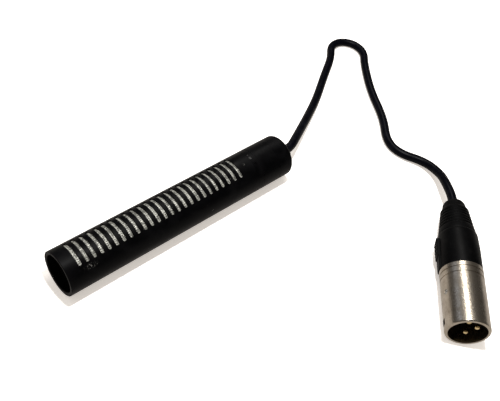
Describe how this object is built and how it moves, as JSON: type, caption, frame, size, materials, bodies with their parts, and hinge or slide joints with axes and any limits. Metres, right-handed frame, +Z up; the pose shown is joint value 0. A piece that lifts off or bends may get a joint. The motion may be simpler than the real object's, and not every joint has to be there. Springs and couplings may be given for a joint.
{
  "type": "shotgun microphone",
  "caption": "Short shotgun microphone: black slotted tube over silver mesh, captive black cable and a metal-shelled three-pin male audio plug.",
  "frame": {"origin": "under the middle of the microphone's length, on the plane that it lies on", "axes": "+X along the microphone from its mouth to its cable collar, +Z up from the plane that it and its plug lie on"},
  "size_m": [0.2273, 0.1782, 0.02],
  "materials": {
    "black_anodised": "satin black anodised",
    "black_mesh": "fine black wire mesh",
    "silver_mesh": "fine bright wire mesh",
    "felt": "dark acoustic felt",
    "bare_aluminium": "bare, fine turned",
    "rubber": "matte black rubber",
    "brass": "bare brass",
    "film": "thin metallised film",
    "black_plastic": "moulded black plastic",
    "circuit_board": "green glass-epoxy board",
    "capacitor": "dark blue sleeve",
    "steel": "bright steel",
    "blackened_steel": "blackened steel",
    "wire_insulation": "thin plastic insulation",
    "cable_jacket": "satin black jacket",
    "satin_nickel": "satin nickel plate",
    "gold_pins": "thin gold plate",
    "boot_plastic": "satin moulded black plastic"
  },
  "bodies": {
    "root": {"slotted_tube": "black_anodised", "front_grille": "black_mesh", "grille_ring": "black_anodised", "mesh_sleeve": "silver_mesh", "damping_felt": "felt", "capsule_case": "bare_aluminium", "capsule_mount": "rubber", "diaphragm_ring": "brass", "diaphragm": "film", "spacer_ring": "film", "backplate": "brass", "plate_holder": "black_plastic", "capsule_board": "circuit_board", "capsule_transistor": "black_plastic", "coupling_ring": "black_anodised", "lock_screw": "blackened_steel", "rear_barrel": "black_anodised", "end_cap": "black_anodised", "cable_collar": "rubber", "inner_cable_end": "cable_jacket", "cable_crimp": "steel", "circuit_board": "circuit_board", "board_rails": "black_plastic", "output_transformer": "steel", "board_capacitors": "capacitor", "board_transistors": "black_plastic", "capsule_leads": "wire_insulation", "microphone_wires": "wire_insulation", "cable": "cable_jacket", "plug_shell": "satin_nickel", "plug_insert": "black_plastic", "contact_pins": "gold_pins", "ground_spring": "brass", "insert_screw": "steel", "boot_nut": "boot_plastic", "boot_sleeve": "rubber", "cable_chuck": "black_plastic", "plug_cable_end": "cable_jacket", "plug_wires": "wire_insulation"}
  },
  "joints": []
}
